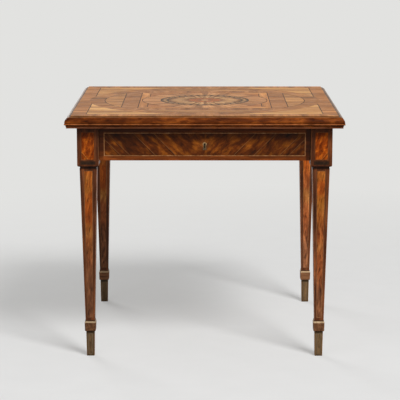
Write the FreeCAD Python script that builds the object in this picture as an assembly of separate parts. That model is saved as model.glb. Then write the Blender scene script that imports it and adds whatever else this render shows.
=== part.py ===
import FreeCAD, Part
import math
import os

# Square games table: moulded marquetry top, one frieze drawer with a lock, four tapered legs.
# X runs to the right, Y away from the drawer side and Z up.
# The origin is on the floor under the middle of the top.

Vector = FreeCAD.Vector
QUARTERS = (0, 90, 180, 270)

# Overall sizes
table_height = 760.0
top_side = 850.0
top_thickness = 37.0
top_overhang = 36.0

# Edge moulding of the top, from the flat field out to the nose and down
moulding_reach = 19.0
moulding_step = 3.0
moulding_flat = 1.0
ovolo_nose_inset = 1.2
ovolo_drop = 18.4
quirk_depth = 3.4
quirk_height = 0.9
nose_radius = 2.4
lower_quirk_inset = 6.0
lower_quirk_height = 1.0
lower_ovolo_inset = 4.5
lower_ovolo_reach = 1.5
lower_fillet_height = 5.0

# Frame of the top, its core boards and their tongue
frame_member_width = 100.0
core_thickness = 24.0
core_board_count = 5
core_tongue_length = 10.0
core_tongue_thickness = 8.0

# Marquetry of the top, from the edge of the field to the middle
veneer_thickness = 1.5
line_width = 2.4
border_width = 43.5
ring_overlap = 12.5
ring_width = 49.0
segment_depth = 62.0
band_width = 50.0
centre_corner_share = 0.585
medallion_ring_gap = 7.0
medallion_ring_width = 58.0

# Legs
leg_block_size = 66.0
leg_block_height = 123.0
neck_ovolo_height = 5.0
neck_ovolo_reach = 5.0
neck_fillet_step = 1.0
neck_fillet_height = 1.0
neck_groove_depth = 1.8
neck_groove_height = 5.0
shaft_top_width = 52.5
shaft_bottom_width = 29.0
collar_width = 35.0
collar_lip_width = 31.0
collar_lower_width = 33.5
collar_bottom_width = 28.5
collar_height = 36.0
collar_lip_height = 3.5
collar_bevel_height = 4.5
collar_round_height = 5.0
collar_seat_width = 23.0
collar_corner_cut = 1.2
collar_quirk_height = 2.0
foot_height = 77.0
foot_top_width = 26.0
foot_bottom_width = 23.5
arris_cut = 0.5

# Inlay of the legs
inlay_depth = 1.2
string_width = 1.6
block_panel_margin = 12.5
block_panel_top = 15.0
block_panel_bottom = 16.0
tablet_margin = 10.0
tablet_bottom = 1.5
tablet_height = 11.0
shaft_panel_top_margin = 12.0
shaft_panel_bottom_margin = 5.5
shaft_panel_top = 7.0
shaft_panel_bottom = 8.0
foot_panel_margin = 5.5
foot_panel_end = 5.0

# Inlay of the aprons and the drawer front
frieze_side_margin = 16.0
frieze_top_margin = 18.0
frieze_bottom_margin = 14.0

# Aprons and the two front rails
apron_height = 103.0
apron_thickness = 22.0
apron_setback = 5.0
tenon_thickness = 8.0
tenon_length = 28.0
tenon_shoulder = 12.0
rail_thickness = 18.0
rail_reveal = 2.0
rail_tenon_thickness = 10.0
rail_tenon_length = 25.0
rail_tenon_shoulder = 8.0

# Drawer
drawer_front_thickness = 20.5
drawer_front_side_gap = 1.0
drawer_front_top_gap = 1.5
drawer_front_back_gap = 0.5
drawer_box_gap = 3.0
drawer_run_gap = 0.3
drawer_kick_gap = 3.0
drawer_length = 560.0
drawer_side_thickness = 12.0
drawer_back_thickness = 10.0
drawer_back_inset = 6.0
drawer_back_drop = 6.0
drawer_back_housing = 4.0
drawer_bottom_thickness = 7.0
drawer_bottom_raise = 6.0
drawer_bottom_groove = 5.0
dovetail_count = 3
dovetail_lap = 12.0
dovetail_neck = 10.0
dovetail_flare = 2.5

# Runners and guides below the drawer sides, kickers above them
runner_under = 12.0
guide_height = 20.0
guide_gap = 0.6
stub_tenon_length = 10.0
stub_tenon_thickness = 8.0
stub_tenon_width = 14.0
stub_tenon_inset = 3.0

# Lock, keyhole and escutcheon
lock_width = 64.0
lock_height = 50.0
lock_depth = 14.0
lock_plate_thickness = 2.0
lock_top_gap = 1.5
lock_cap_width = 48.0
lock_cap_height = 45.0
lock_cap_wall = 1.2
lock_pin_radius = 1.4
bolt_head_width = 18.0
bolt_body_width = 34.0
bolt_body_height = 13.0
bolt_body_drop = 13.5
bolt_thickness = 4.0
bolt_plate_gap = 1.5
bolt_slot_gap = 0.2
bolt_head_inset = 0.3
bolt_notch_radius = 5.0
keep_depth = 10.0
keep_gap = 1.0
spring_thickness = 0.8
spring_foot = 6.0
spring_gap = 0.3
keyhole_drop = 33.5
keyhole_radius = 2.8
keyhole_slot_width = 2.6
keyhole_slot_length = 12.0
escutcheon_wall = 3.7
escutcheon_waist = 8.0
escutcheon_skirt_width = 11.0
escutcheon_skirt_length = 17.5
escutcheon_depth = 6.0

# Screws and glue blocks
top_screw_radius = 2.0
top_screw_head_radius = 4.0
top_screw_head_height = 3.5
top_screw_grip = 14.0
top_screw_point = 4.0
kicker_screw_spread = 220.0
rail_screw_spread = 150.0
lock_screw_radius = 1.5
lock_screw_head_radius = 2.8
lock_screw_head_height = 1.4
lock_screw_length = 9.0
lock_screw_point = 3.0
lock_screw_inset = 4.0
glue_block_size = 24.0
glue_block_length = 60.0
glue_block_spread = 200.0

# Planes that follow from the sizes above; plan distances are the same along X and Y
half_side = top_side / 2
frame_top = table_height - top_thickness
veneer_low = table_height - veneer_thickness
block_face = half_side - top_overhang
block_inner = block_face - leg_block_size
leg_centre = block_face - leg_block_size / 2
block_bottom = frame_top - leg_block_height
block_straight = block_bottom + neck_fillet_height + neck_ovolo_height
shaft_top = block_bottom - neck_groove_height
collar_low = foot_height + collar_quirk_height
collar_high = collar_low + collar_height
apron_bottom = frame_top - apron_height
apron_face = block_face - apron_setback
apron_inner = apron_face - apron_thickness
front_back = -apron_face + drawer_front_thickness
rail_front = front_back + drawer_front_back_gap
lower_rail_low = apron_bottom + rail_reveal
lower_rail_high = lower_rail_low + rail_thickness
upper_rail_low = frame_top - rail_thickness
drawer_outer = block_inner - drawer_box_gap
drawer_inner = drawer_outer - drawer_side_thickness
drawer_low = lower_rail_high + drawer_run_gap
drawer_high = upper_rail_low - drawer_kick_gap
drawer_end = front_back + drawer_length
bottom_low = drawer_low + drawer_bottom_raise
bottom_high = bottom_low + drawer_bottom_thickness
runner_inner = drawer_inner - runner_under
lock_top = upper_rail_low - lock_top_gap
keyhole_z = lock_top - keyhole_drop


def box(x0, x1, y0, y1, z0, z1):
    corner = Vector(min(x0, x1), min(y0, y1), min(z0, z1))
    return Part.makeBox(abs(x1 - x0), abs(y1 - y0), abs(z1 - z0), corner)


def prism(points, along):
    wire = Part.makePolygon([Vector(*p) for p in points] + [Vector(*points[0])])
    return Part.Face(wire).extrude(Vector(*along))


def turned(shape, degrees):
    copy = shape.copy()
    copy.rotate(Vector(0, 0, 0), Vector(0, 0, 1), degrees)
    return copy


def moved(shape, x, y, z):
    copy = shape.copy()
    copy.translate(Vector(x, y, z))
    return copy


def joined(*shapes):
    return shapes[0].fuse(list(shapes[1:])).removeSplitter()


def export(node, shapes):
    solids = [solid for shape in shapes for solid in shape.Solids]
    shape = solids[0] if len(solids) == 1 else Part.makeCompound(solids)
    shape.exportStep("parts/" + node + ".step")


# A section is a list of (distance, height) points; a third value marks the middle of an arc
def section_edges(points):
    edges = []
    start = None
    middle = None
    for point in points:
        here = Vector(point[0], 0, point[1])
        if len(point) == 3:
            middle = here
            continue
        if start is not None and middle is not None:
            edges.append(Part.Arc(start, middle, here).toShape())
        elif start is not None:
            edges.append(Part.makeLine(start, here))
        start = here
        middle = None
    return edges


# Quarter round from start to end about a centre that is level with one of them and plumb with the other
def quarter_round(start, end, centre):
    middle = [c + (a - c + b - c) * math.sqrt(0.5) for a, b, c in zip(start, end, centre)]
    return [start, (*middle, "arc"), end]


# Square post whose four sides follow one half section, with its arrises cut back
def square_post(points, reach, corner_cut):
    def slab(scale, inset, degrees):
        right = [(p[0] * scale - inset, *p[1:]) for p in points]
        left = [(-p[0], *p[1:]) for p in right]
        edges = section_edges(right) + section_edges(left)
        for a, b in ((left[0], right[0]), (left[-1], right[-1])):
            edges.append(Part.makeLine(Vector(a[0], 0, a[1]), Vector(b[0], 0, b[1])))
        face = Part.Face(Part.Wire(Part.__sortEdges__(edges)))
        return turned(moved(face.extrude(Vector(0, 2 * reach, 0)), 0, -reach, 0), degrees)

    across = slab(1.0, 0.0, 0).common(slab(1.0, 0.0, 90))
    diagonal = math.sqrt(2.0)
    return across.common(slab(diagonal, corner_cut, 45)).common(slab(diagonal, corner_cut, 135))


# Triangular block from the middle out to one side, between the two diagonals; zero degrees is the front
def side_wedge(half, low, high, degrees):
    return turned(prism([(0, 0, low), (-half, -half, low), (half, -half, low)], (0, 0, high - low)), degrees)


def mitred(shape, half, low, high):
    return [shape.common(side_wedge(half, low, high, degrees)) for degrees in QUARTERS]


# Top: mitred frame with the moulding worked on it, and core boards tongued into it
def moulding_section():
    ovolo_start = (moulding_reach - moulding_flat, table_height - moulding_step)
    ovolo_end = (ovolo_nose_inset, ovolo_start[1] - ovolo_drop)
    bead_top = ovolo_end[1] - quirk_height
    bead_bottom = bead_top - 2 * nose_radius
    lower_start = (lower_ovolo_inset, bead_bottom - lower_quirk_height)
    lower_end = (lower_ovolo_inset + lower_ovolo_reach, frame_top + lower_fillet_height)
    return [
        (frame_member_width, veneer_low),
        (moulding_reach, veneer_low),
        (moulding_reach, ovolo_start[1]),
        *quarter_round(ovolo_start, ovolo_end, (ovolo_start[0], ovolo_end[1])),
        (ovolo_nose_inset + quirk_depth, ovolo_end[1]),
        (ovolo_nose_inset + quirk_depth, bead_top),
        (nose_radius, bead_top),
        (0.0, bead_top - nose_radius, "arc"),
        (nose_radius, bead_bottom),
        (lower_quirk_inset, bead_bottom),
        (lower_quirk_inset, lower_start[1]),
        *quarter_round(lower_start, lower_end, (lower_end[0], lower_start[1])),
        (lower_end[0], frame_top),
        (frame_member_width, frame_top),
        (frame_member_width, veneer_low),
    ]


def top_frame(degrees):
    face = Part.Face(Part.Wire(section_edges(moulding_section())))
    bar = turned(moved(face.extrude(Vector(0, top_side, 0)), -half_side, -half_side, 0), 90 + degrees)
    return bar.common(side_wedge(half_side, frame_top, table_height, degrees))


def top_core():
    core = half_side - frame_member_width
    reach = core + core_tongue_length
    low = veneer_low - core_thickness
    tongue_low = low + (core_thickness - core_tongue_thickness) / 2
    body = box(-core, core, -core, core, low, veneer_low)
    tongue = box(-reach, reach, -reach, reach, tongue_low, tongue_low + core_tongue_thickness)
    return joined(body, tongue)


def core_boards(core):
    reach = half_side - frame_member_width + core_tongue_length
    pitch = 2 * reach / core_board_count
    edges = [-reach + index * pitch for index in range(core_board_count)]
    return [core.common(box(-reach, reach, edge, edge + pitch, frame_top, table_height)) for edge in edges]


# Marquetry: half sides and radii of its squares and rounds, from the field inwards
field_half = half_side - moulding_reach
border_half = field_half - border_width
ring_radius = border_half + ring_overlap
inner_radius = ring_radius - ring_width
chord_half = inner_radius - segment_depth
centre_half = chord_half - line_width - band_width
medallion_outer = centre_half - medallion_ring_gap
corner_room = (centre_half - line_width) * math.sqrt(2.0) - medallion_outer
centre_inner = (medallion_outer + centre_corner_share * corner_room) / math.sqrt(2.0)
medallion_radius = medallion_outer - line_width - medallion_ring_width


def plate(half):
    return box(-half, half, -half, half, veneer_low, table_height)


def disc(radius):
    return Part.makeCylinder(radius, veneer_thickness, Vector(0, 0, veneer_low))


def square_line(half):
    return plate(half).cut(plate(half - line_width))


def circle_line(radius):
    return disc(radius).cut(disc(radius - line_width))


def mitred_veneer(shape):
    return mitred(shape, field_half, veneer_low, table_height)


# A round band is cut where it crosses the middle of each side
def quartered_veneer(shape):
    return [shape.common(turned(box(0, half_side, 0, half_side, veneer_low, table_height), degrees))
            for degrees in QUARTERS]


def top_veneers():
    inside_ring = disc(inner_radius - line_width)
    inside_chord = plate(chord_half - line_width)
    border = plate(field_half).cut(plate(border_half)).cut(disc(ring_radius))
    bands = inside_chord.cut(plate(centre_half)).common(inside_ring)
    centre_border = plate(centre_half - line_width).cut(plate(centre_inner)).cut(disc(medallion_outer))
    medallion_ring = disc(medallion_outer - line_width).cut(disc(medallion_radius))
    lines = [
        square_line(border_half).cut(disc(ring_radius)),
        circle_line(inner_radius),
        square_line(chord_half).common(inside_ring),
        square_line(centre_half),
        square_line(centre_inner).cut(disc(medallion_outer)),
        circle_line(medallion_outer),
        circle_line(medallion_radius),
    ]
    return {
        "top_border_veneer": mitred_veneer(border),
        "top_corner_veneer": [plate(border_half - line_width).cut(disc(ring_radius))],
        "top_ring_veneer": quartered_veneer(disc(ring_radius).cut(disc(inner_radius))),
        "top_segment_veneer": [inside_ring.cut(plate(chord_half))],
        "top_band_veneer": mitred_veneer(bands),
        "top_centre_border_veneer": mitred_veneer(centre_border),
        "top_centre_corner_veneer": [plate(centre_inner - line_width).cut(disc(medallion_outer))],
        "top_medallion_ring": quartered_veneer(medallion_ring),
        "top_medallion": [disc(medallion_radius - line_width)],
        "top_stringing": lines,
    }


# Legs with their inlay and collars
def leg_section():
    block = leg_block_size / 2
    ovolo_start = (block, block_straight)
    ovolo_end = (block - neck_ovolo_reach, block_straight - neck_ovolo_height)
    fillet = ovolo_end[0] - neck_fillet_step
    groove = fillet - neck_groove_depth
    seat = collar_seat_width / 2
    return [
        (block, frame_top),
        *quarter_round(ovolo_start, ovolo_end, (ovolo_end[0], ovolo_start[1])),
        (fillet, ovolo_end[1]),
        (fillet, block_bottom),
        (groove, block_bottom),
        (groove, shaft_top),
        (shaft_top_width / 2, shaft_top),
        (shaft_bottom_width / 2, collar_high),
        (seat, collar_high),
        (seat, foot_height),
        (foot_top_width / 2, foot_height),
        (foot_bottom_width / 2, 0.0),
    ]


def collar_section():
    bevel_high = collar_high - collar_lip_height
    round_start = (collar_bottom_width / 2, collar_low)
    round_end = (collar_lower_width / 2, collar_low + collar_round_height)
    return [
        *quarter_round(round_start, round_end, (round_start[0], round_end[1])),
        (collar_width / 2, bevel_high - collar_bevel_height),
        (collar_lip_width / 2, bevel_high),
        (collar_lip_width / 2, collar_high),
    ]


# Four mitred lengths of bevelled moulding round the square seat
def leg_collar():
    seat = collar_seat_width / 2
    collar = square_post(collar_section(), collar_width, collar_corner_cut)
    collar = collar.cut(box(-seat, seat, -seat, seat, collar_low, collar_high))
    return mitred(collar, collar_width, collar_low, collar_high)


# Panel with stringing round it in the -Y face of a post that is half_low wide at low and half_high at high
def face_inlay(low, high, half_low, half_high, margin_low, margin_high, end_low, end_high):
    lean = (half_high - half_low) / (high - low)
    inward = Vector(0, 1, lean)
    inward.normalize()
    inward.multiply(inlay_depth)

    def at(z, start, end):
        return start + (end - start) * (z - low) / (high - low)

    def piece(sides, z0, z1):
        corners = []
        for z, order in ((z0, (0, 1)), (z1, (1, 0))):
            edge = at(z, half_low - margin_low, half_high - margin_high)
            for index in order:
                sign, inset = sides[index]
                corners.append((sign * (edge - inset), -at(z, half_low, half_high), z))
        return prism(corners, inward)

    z0 = low + end_low
    z1 = high - end_high
    outside = ((-1, 0.0), (1, 0.0))
    inside = ((-1, string_width), (1, string_width))
    strings = [
        piece(outside, z0, z0 + string_width),
        piece(outside, z1 - string_width, z1),
        piece((outside[0], inside[0]), z0 + string_width, z1 - string_width),
        piece((inside[1], outside[1]), z0 + string_width, z1 - string_width),
    ]
    return [piece(inside, z0 + string_width, z1 - string_width)], strings


def block_tablet():
    half = leg_block_size / 2
    edge = half - tablet_margin
    low = block_straight + tablet_bottom
    return box(-edge, edge, -half, -half + inlay_depth, low, low + tablet_height)


# Every face of shaft and foot is inlaid, and the two outer faces of the block
def leg_inlay(outer_faces):
    block_half = leg_block_size / 2
    shaft = face_inlay(collar_high, shaft_top, shaft_bottom_width / 2, shaft_top_width / 2,
                       shaft_panel_bottom_margin, shaft_panel_top_margin, shaft_panel_bottom, shaft_panel_top)
    foot = face_inlay(0.0, foot_height, foot_bottom_width / 2, foot_top_width / 2,
                      foot_panel_margin, foot_panel_margin, foot_panel_end, foot_panel_end)
    block = face_inlay(block_straight, frame_top, block_half, block_half,
                       block_panel_margin, block_panel_margin, block_panel_bottom, block_panel_top)
    block[0].append(block_tablet())
    panels = []
    strings = []
    for degrees in QUARTERS:
        for stage in (shaft, foot, block) if degrees in outer_faces else (shaft, foot):
            panels += [turned(panel, degrees) for panel in stage[0]]
            strings += [turned(string, degrees) for string in stage[1]]
    return panels, strings


# Frieze: two mirrored panels in a rectangle of stringing, in a board that faces -Y
def frieze_inlay():
    u = block_inner - frieze_side_margin
    v = u - string_width
    z0 = apron_bottom + frieze_bottom_margin
    z1 = frame_top - frieze_top_margin
    y0 = -apron_face
    y1 = y0 + inlay_depth
    panel_low = z0 + string_width
    panel_high = z1 - string_width
    strings = [
        box(-u, u, y0, y1, z0, panel_low),
        box(-u, u, y0, y1, panel_high, z1),
        box(-u, -v, y0, y1, panel_low, panel_high),
        box(v, u, y0, y1, panel_low, panel_high),
    ]
    panels = [box(-v, 0, y0, y1, panel_low, panel_high), box(0, v, y0, y1, panel_low, panel_high)]
    return panels, strings


def apron():
    board = box(-block_inner, block_inner, -apron_face, -apron_inner, apron_bottom, frame_top)
    middle = -(apron_face + apron_inner) / 2
    reach = block_inner + tenon_length
    tenon = box(-reach, reach, middle - tenon_thickness / 2, middle + tenon_thickness / 2,
                apron_bottom + tenon_shoulder, frame_top - tenon_shoulder)
    return joined(board, tenon)


# Flat rail behind the drawer front, tenoned into both front legs
def front_rail(low):
    high = low + rail_thickness
    middle = (low + high) / 2
    reach = block_inner + rail_tenon_length
    body = box(-block_inner, block_inner, rail_front, -block_inner, low, high)
    tenon = box(-reach, reach, rail_front + rail_tenon_shoulder, -block_inner - rail_tenon_shoulder,
                middle - rail_tenon_thickness / 2, middle + rail_tenon_thickness / 2)
    return joined(body, tenon)


# Runner or kicker between the legs, glued to the side apron and stubbed into a front rail
def side_bar(side, low):
    high = low + rail_thickness
    middle = (low + high) / 2
    stub_near = runner_inner + stub_tenon_inset
    bar = box(side * runner_inner, side * apron_inner, -block_inner, block_inner, low, high)
    stub = box(side * stub_near, side * (stub_near + stub_tenon_width),
               -block_inner - stub_tenon_length, -block_inner,
               middle - stub_tenon_thickness / 2, middle + stub_tenon_thickness / 2)
    return joined(bar, stub)


def drawer_guide(side):
    return box(side * (drawer_outer + guide_gap), side * apron_inner, -block_inner, block_inner,
               lower_rail_high, lower_rail_high + guide_height)


# Countersunk screw along +Z with its head flush at zero
def wood_screw(radius, head_radius, head_height, length, point):
    section = [(0, 0), (head_radius, 0), (radius, head_height), (radius, length - point), (0, length), (0, 0)]
    face = Part.Face(Part.Wire(section_edges(section)))
    return face.revolve(Vector(0, 0, 0), Vector(0, 0, 1), 360)


def top_screws():
    screw = wood_screw(top_screw_radius, top_screw_head_radius, top_screw_head_height,
                       rail_thickness + top_screw_grip, top_screw_point)
    kicker_x = (apron_inner + drawer_outer) / 2
    rail_y = (rail_front - block_inner) / 2
    spots = [(side * rail_screw_spread, rail_y) for side in (-1, 1)]
    for side in (-1, 1):
        spots += [(side * kicker_x, step * kicker_screw_spread) for step in (-1, 0, 1)]
    return [moved(screw, x, y, upper_rail_low) for x, y in spots]


def glue_blocks():
    half = glue_block_length / 2
    low = frame_top - glue_block_size
    block = box(-half, half, apron_inner - glue_block_size, apron_inner, low, frame_top)
    return [moved(block, step * glue_block_spread, 0, 0) for step in (-1, 0, 1)]


# Drawer
def drawer_front():
    half = block_inner - drawer_front_side_gap
    return box(-half, half, -apron_face, front_back, apron_bottom, frame_top - drawer_front_top_gap)


# Side board with dovetail tails on its front end
def drawer_side(side):
    near = min(side * drawer_inner, side * drawer_outer)
    board = box(side * drawer_inner, side * drawer_outer, front_back, drawer_end, drawer_low, drawer_high)
    pitch = (drawer_high - drawer_low) / dovetail_count
    neck = dovetail_neck / 2
    flare = neck + dovetail_flare
    tip = front_back - dovetail_lap
    tails = []
    for index in range(dovetail_count):
        z = drawer_low + (index + 0.5) * pitch
        tails.append(prism([(near, front_back, z - neck), (near, front_back, z + neck),
                            (near, tip, z + flare), (near, tip, z - flare)], (drawer_side_thickness, 0, 0)))
    return joined(board, *tails)


def drawer_bottom():
    reach = drawer_inner + drawer_bottom_groove
    board = box(-reach, reach, front_back, drawer_end - drawer_back_inset, bottom_low, bottom_high)
    tongue = box(-drawer_inner, drawer_inner, front_back - drawer_bottom_groove, front_back,
                 bottom_low, bottom_high)
    return joined(board, tongue)


def drawer_back():
    reach = drawer_inner + drawer_back_housing
    rear = drawer_end - drawer_back_inset
    return box(-reach, reach, rear - drawer_back_thickness, rear, bottom_high, drawer_high - drawer_back_drop)


# Round head with a slot hanging from it, run from y0 to y1
def keyhole(radius, slot_width, slot_foot, slot_length, y0, y1):
    head = Part.makeCylinder(radius, y1 - y0, Vector(0, y0, keyhole_z), Vector(0, 1, 0))
    low = keyhole_z - slot_length
    slot = prism([(-slot_width / 2, y0, keyhole_z), (slot_width / 2, y0, keyhole_z),
                  (slot_foot / 2, y0, low), (-slot_foot / 2, y0, low)], (0, y1 - y0, 0))
    return joined(head, slot)


def key_way(y0, y1):
    return keyhole(keyhole_radius, keyhole_slot_width, keyhole_slot_width, keyhole_slot_length, y0, y1)


def escutcheon_blank():
    return keyhole(keyhole_radius + escutcheon_wall, escutcheon_waist, escutcheon_skirt_width,
                   escutcheon_skirt_length, -apron_face, -apron_face + escutcheon_depth)


# Lock on the back of the drawer front
lock_back = front_back + lock_depth
plate_back = front_back + lock_plate_thickness
cap_high = lock_top - lock_plate_thickness
cap_low = cap_high - lock_cap_height
bolt_front = plate_back + bolt_plate_gap
bolt_back = bolt_front + bolt_thickness
bolt_top = lock_top - bolt_head_inset
bolt_shoulder = bolt_top - bolt_body_drop
bolt_low = bolt_shoulder - bolt_body_height


# Room round the bolt's head, wider by the gap on every side
def bolt_room(gap, low, high):
    half = bolt_head_width / 2 + gap
    return box(-half, half, bolt_front - gap, bolt_back + gap, low, high)


def lock_plate():
    half = lock_width / 2
    upright = box(-half, half, front_back, plate_back, lock_top - lock_height, lock_top)
    flange = box(-half, half, front_back, lock_back, cap_high, lock_top)
    slot = bolt_room(bolt_slot_gap, cap_high, lock_top)
    return joined(upright, flange).cut([slot, key_way(front_back, plate_back)])


# Sheet cover that is open to the plate and the flange, with the key's pin riveted in it
def lock_cap():
    half = lock_cap_width / 2
    inner = half - lock_cap_wall
    shell = box(-half, half, plate_back, lock_back, cap_low, cap_high)
    room = box(-inner, inner, plate_back, lock_back - lock_cap_wall, cap_low + lock_cap_wall, cap_high)
    pin = Part.makeCylinder(lock_pin_radius, lock_depth, Vector(0, front_back, keyhole_z), Vector(0, 1, 0))
    return joined(shell.cut(room), pin)


def lock_bolt():
    head = bolt_room(0.0, bolt_low, bolt_top)
    half = bolt_body_width / 2
    body = box(-half, half, bolt_front, bolt_back, bolt_low, bolt_shoulder)
    notch_end = Vector(0, bolt_front, bolt_low)
    notch = Part.makeCylinder(bolt_notch_radius, bolt_thickness, notch_end, Vector(0, 1, 0))
    return joined(head, body).cut(notch)


# Leaf that leans from the cap's wall to the edge of the bolt and away again
def lock_spring():
    wall = lock_cap_width / 2 - lock_cap_wall
    near = bolt_body_width / 2 + spring_gap
    tip = (wall + near) / 2
    low = cap_low + lock_cap_wall
    touch = (bolt_low + bolt_shoulder) / 2
    t = spring_thickness
    section = [(wall, low), (wall, low + spring_foot), (near + t, touch), (tip + t, bolt_shoulder),
               (tip, bolt_shoulder), (near, touch), (wall - t, low + spring_foot), (wall - t, low)]
    return prism([(x, bolt_front, z) for x, z in section], (0, bolt_thickness, 0))


def lock_screws():
    screw = wood_screw(lock_screw_radius, lock_screw_head_radius, lock_screw_head_height,
                       lock_screw_length, lock_screw_point)
    screw.rotate(Vector(0, 0, 0), Vector(1, 0, 0), 90)
    x = lock_width / 2 - lock_screw_inset
    heights = (lock_top - lock_height + lock_screw_inset, cap_high - lock_screw_inset)
    return [moved(screw, side * x, plate_back, z) for side in (-1, 1) for z in heights]


def build_frame():
    board = apron()
    panels, strings = frieze_inlay()
    turns = {"left": 270, "right": 90, "back": 180}
    aprons = [turned(board, degrees) for degrees in turns.values()]
    rail_lower = front_rail(lower_rail_low)
    rail_upper = front_rail(upper_rail_low)
    screws = top_screws()
    runners = []
    kickers = []
    for side, word in ((-1, "left"), (1, "right")):
        runners.append(side_bar(side, lower_rail_low))
        kickers.append(side_bar(side, upper_rail_low))
        export("drawer_runner_" + word, [runners[-1]])
        export("drawer_kicker_" + word, [kickers[-1].cut(screws)])
        export("drawer_guide_" + word, [drawer_guide(side)])
    for word, degrees in turns.items():
        export("apron_" + word, [turned(board.cut(panels + strings), degrees)])
    export("apron_panels", [turned(panel, degrees) for degrees in turns.values() for panel in panels])
    export("apron_stringing", [turned(string, degrees) for degrees in turns.values() for string in strings])
    keep = bolt_room(keep_gap, upper_rail_low, upper_rail_low + keep_depth)
    export("front_rail_lower", [rail_lower.cut(runners)])
    export("front_rail_upper", [rail_upper.cut(kickers + screws + [keep])])
    export("top_screws", screws)
    export("glue_blocks", glue_blocks())
    build_legs(aprons + [rail_lower, rail_upper])


# The mortises are cut by the pieces that enter them
def build_legs(tenoned):
    post = square_post(leg_section(), leg_block_size, arris_cut)
    collar = leg_collar()
    for side_y, row in ((-1, "front"), (1, "back")):
        for side_x, word in ((-1, "left"), (1, "right")):
            name = row + "_" + word
            outer_faces = (0 if side_y < 0 else 180, 90 if side_x > 0 else 270)
            panels, strings = leg_inlay(outer_faces)
            place = (side_x * leg_centre, side_y * leg_centre, 0)
            export("leg_" + name, [moved(post.cut(panels + strings), *place).cut(tenoned)])
            export("leg_panels_" + name, [moved(panel, *place) for panel in panels])
            export("leg_stringing_" + name, [moved(string, *place) for string in strings])
            export("leg_collar_" + name, [moved(strip, *place) for strip in collar])


def build_drawer():
    panels, strings = frieze_inlay()
    blank = escutcheon_blank()
    sides = {"left": drawer_side(-1), "right": drawer_side(1)}
    bottom = drawer_bottom()
    back = drawer_back()
    screws = lock_screws()
    entering = panels + strings + list(sides.values()) + screws
    export("drawer_front", [drawer_front().cut(entering + [bottom, blank, key_way(-apron_face, front_back)])])
    export("drawer_panels", [panel.cut(blank) for panel in panels])
    export("drawer_stringing", strings)
    export("keyhole_escutcheon", [blank.cut(key_way(-apron_face, front_back))])
    for word, side in sides.items():
        export("drawer_side_" + word, [side.cut([bottom, back])])
    export("drawer_back", [back])
    export("drawer_bottom", [bottom])
    export("lock_plate", [lock_plate().cut(screws)])
    export("lock_cap", [lock_cap()])
    export("lock_bolt", [lock_bolt()])
    export("lock_spring", [lock_spring()])
    export("lock_screws", screws)


def build_top():
    core = top_core()
    screws = top_screws()
    export("top_core_boards", core_boards(core))
    for word, degrees in zip(("front", "right", "back", "left"), QUARTERS):
        export("top_frame_" + word, [top_frame(degrees).cut([core] + screws)])
    for node, shapes in top_veneers().items():
        export(node, shapes)


os.makedirs("parts", exist_ok=True)
build_frame()
build_drawer()
build_top()
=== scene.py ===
import math
import bpy
import numpy as np
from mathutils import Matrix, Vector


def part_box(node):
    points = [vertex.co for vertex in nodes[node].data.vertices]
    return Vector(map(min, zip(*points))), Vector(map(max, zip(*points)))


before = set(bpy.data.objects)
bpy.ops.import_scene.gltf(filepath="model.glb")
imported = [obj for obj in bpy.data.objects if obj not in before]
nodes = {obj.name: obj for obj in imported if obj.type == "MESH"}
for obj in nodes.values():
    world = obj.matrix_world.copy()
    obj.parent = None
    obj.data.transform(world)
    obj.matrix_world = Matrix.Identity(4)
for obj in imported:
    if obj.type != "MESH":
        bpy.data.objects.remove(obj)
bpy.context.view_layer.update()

scene = bpy.context.scene
scene.view_settings.view_transform = "Standard"
print("frame loaded:", len(nodes), "nodes")

# Places that the finishes follow, in metres, from the frame's lowest and highest corners of a node
legLow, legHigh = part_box("leg_front_right")
legCentre = (legLow[0] + legHigh[0]) / 2
legTop = legHigh[2]
blockHalf = (legHigh[0] - legLow[0]) / 2
blockHeight = 0.123
blockBottom = legTop - blockHeight
collarBottom, collarTop = [corner[2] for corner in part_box("leg_collar_front_right")]
panelLow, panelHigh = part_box("drawer_panels")
panelBottom = panelLow[2]
panelBack = panelHigh[1]
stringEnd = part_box("drawer_stringing")[1][0]
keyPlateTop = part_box("keyhole_escutcheon")[1][2]
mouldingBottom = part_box("top_frame_front")[0][2]


# Small helpers for building shader trees
def srgb(red, green, blue):
    # screen colour 0-255 to the linear colour that a socket takes
    parts = [c / 255 for c in (red, green, blue)]
    return tuple(c / 12.92 if c <= 0.04045 else ((c + 0.055) / 1.055) ** 2.4 for c in parts) + (1.0,)


def fill(tree, made, inputs):
    for key, value in inputs.items():
        if isinstance(value, bpy.types.NodeSocket):
            tree.links.new(value, made.inputs[key])
        else:
            made.inputs[key].default_value = value
    return made


def addNode(tree, kind, inputs=None, **settings):
    made = tree.nodes.new(kind)
    for key, value in settings.items():
        setattr(made, key, value)
    return fill(tree, made, inputs or {})


def maths(tree, operation, first, second=0.0, third=0.0):
    return addNode(tree, "ShaderNodeMath", {0: first, 1: second, 2: third}, operation=operation).outputs[0]


def plus(tree, first, second):
    return maths(tree, "ADD", first, second)


def minus(tree, first, second):
    return maths(tree, "SUBTRACT", first, second)


def absolute(tree, value):
    return maths(tree, "ABSOLUTE", value)


def over(tree, first, second):
    # 1 where the first is more than the second
    return maths(tree, "GREATER_THAN", first, second)


def chain(tree, operation, values):
    result = values[0]
    for value in values[1:]:
        result = maths(tree, operation, result, value)
    return result


def times(tree, *values):
    return chain(tree, "MULTIPLY", values)


def largest(tree, *values):
    return chain(tree, "MAXIMUM", values)


def vecMaths(tree, operation, first, second):
    return addNode(tree, "ShaderNodeVectorMath", {0: first, 1: second}, operation=operation).outputs[0]


def scaled(tree, vector, factor):
    return addNode(tree, "ShaderNodeVectorMath", {0: vector, 3: factor}, operation="SCALE").outputs[0]


def combine(tree, x, y, z):
    return addNode(tree, "ShaderNodeCombineXYZ", {0: x, 1: y, 2: z}).outputs[0]


def separate(tree, vector):
    return addNode(tree, "ShaderNodeSeparateXYZ", {0: vector}).outputs


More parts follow.
